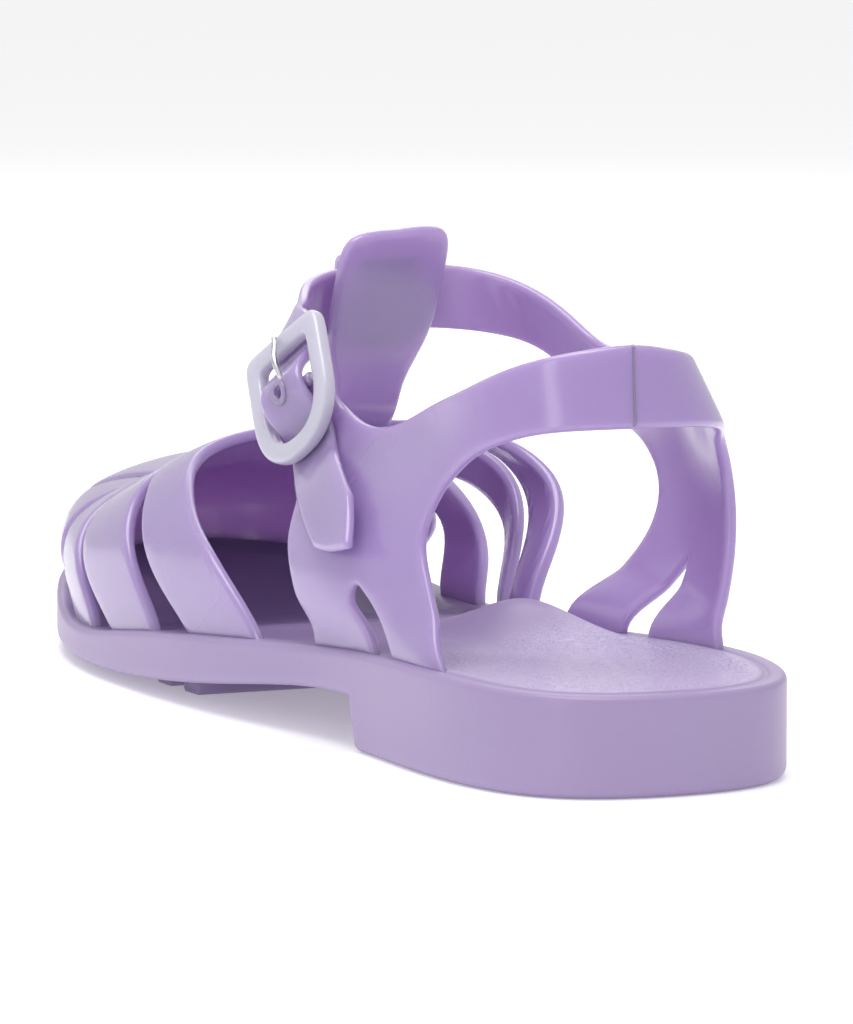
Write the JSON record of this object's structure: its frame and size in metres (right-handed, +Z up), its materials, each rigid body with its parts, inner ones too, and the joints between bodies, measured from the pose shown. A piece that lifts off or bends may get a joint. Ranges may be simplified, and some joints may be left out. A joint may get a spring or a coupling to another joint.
{
  "type": "jelly sandal",
  "caption": "Left fisherman jelly sandal with caged toe straps, a tongue with a keeper, a heel strap and a buckled ankle strap on a low moulded sole.",
  "frame": {"origin": "centre of the sandal's bounding box, on the floor under its sole", "axes": "+Y from the heel to the toe, +X to the inner (medial) side of this left shoe, +Z up"},
  "size_m": [0.0872, 0.2462, 0.084],
  "materials": {
    "sole": "satin lilac PVC",
    "straps": "glossy lilac PVC",
    "buckle": "milky glossy plastic",
    "prong": "polished wire"
  },
  "bodies": {
    "root": {"sole": "sole", "upper_front": "straps", "upper_back": "straps", "buckle_frame": "buckle", "buckle_prong": "prong"}
  },
  "joints": []
}
